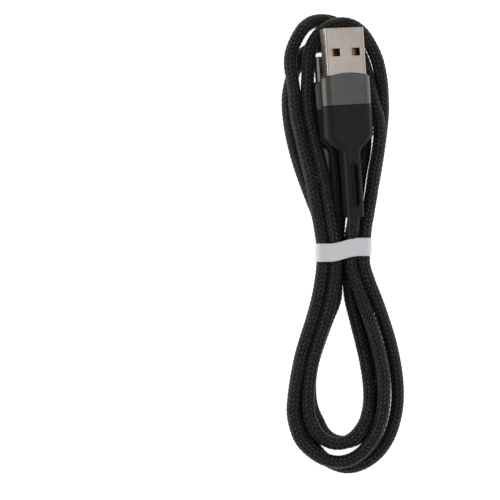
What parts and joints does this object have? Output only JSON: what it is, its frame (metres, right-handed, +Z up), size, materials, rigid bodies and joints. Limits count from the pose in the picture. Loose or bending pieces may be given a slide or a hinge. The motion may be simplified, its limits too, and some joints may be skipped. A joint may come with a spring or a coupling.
{
  "type": "charging cable",
  "caption": "USB-A to USB-C charging cable with a braided jacket, moulded plugs with metal collars, folded into a hank and held by a band tie.",
  "frame": {"origin": "on the surface the hank lies on, under the middle of the tied hank", "axes": "+Y along the hank towards the plugs' tips, +X across the hank, +Z up, away from the surface"},
  "size_m": [0.0356, 0.1347, 0.0154],
  "materials": {
    "braid": "woven dark grey nylon braid",
    "overmould": "matte black thermoplastic elastomer",
    "inner_mould": "black",
    "collar": "satin, dark grey anodised",
    "shell_steel": "nickel-plated, satin",
    "gold": "gold-plated contact",
    "insulator": "dark violet moulding",
    "tie_plastic": "milky, slightly see-through",
    "board": "solder mask green",
    "ceramic": "black",
    "wire_black": "insulation",
    "wire_green": "insulation",
    "wire_white": "insulation",
    "wire_red": "insulation"
  },
  "bodies": {
    "bundle": {"cord_hank": "braid", "hank_tie": "tie_plastic", "usb_c_shell": "shell_steel", "usb_c_housing": "insulator", "usb_c_contact_a1": "gold", "usb_c_contact_a4": "gold", "usb_c_contact_a5": "gold", "usb_c_contact_a6": "gold", "usb_c_contact_a7": "gold", "usb_c_contact_a9": "gold", "usb_c_contact_a12": "gold", "usb_c_contact_b1": "gold", "usb_c_contact_b4": "gold", "usb_c_contact_b9": "gold", "usb_c_contact_b12": "gold", "usb_c_latch_left": "shell_steel", "usb_c_latch_right": "shell_steel", "usb_c_board": "board", "usb_c_resistor": "ceramic", "usb_c_inner_mould": "inner_mould", "usb_c_collar": "collar", "usb_c_overmould": "overmould", "usb_c_wire_black": "wire_black", "usb_c_wire_green": "wire_green", "usb_c_wire_white": "wire_white", "usb_c_wire_red": "wire_red", "usb_c_cord_tail": "braid"},
    "usb_a_plug": {"usb_a_shell": "shell_steel", "usb_a_insulator": "insulator", "usb_a_contact_1": "gold", "usb_a_contact_2": "gold", "usb_a_contact_3": "gold", "usb_a_contact_4": "gold", "usb_a_inner_mould": "inner_mould", "usb_a_collar": "collar", "usb_a_overmould": "overmould", "usb_a_wire_black": "wire_black", "usb_a_wire_green": "wire_green", "usb_a_wire_white": "wire_white", "usb_a_wire_red": "wire_red", "usb_a_cord_tail": "braid"}
  },
  "joints": [
    {"name": "usb_a_plug_lift", "type": "hinge", "parent": "bundle", "child": "usb_a_plug", "pos_m": [0.00275, 0.0044, 0.0081], "axis": [1, 0, 0], "range_deg": [0, 40]}
  ]
}
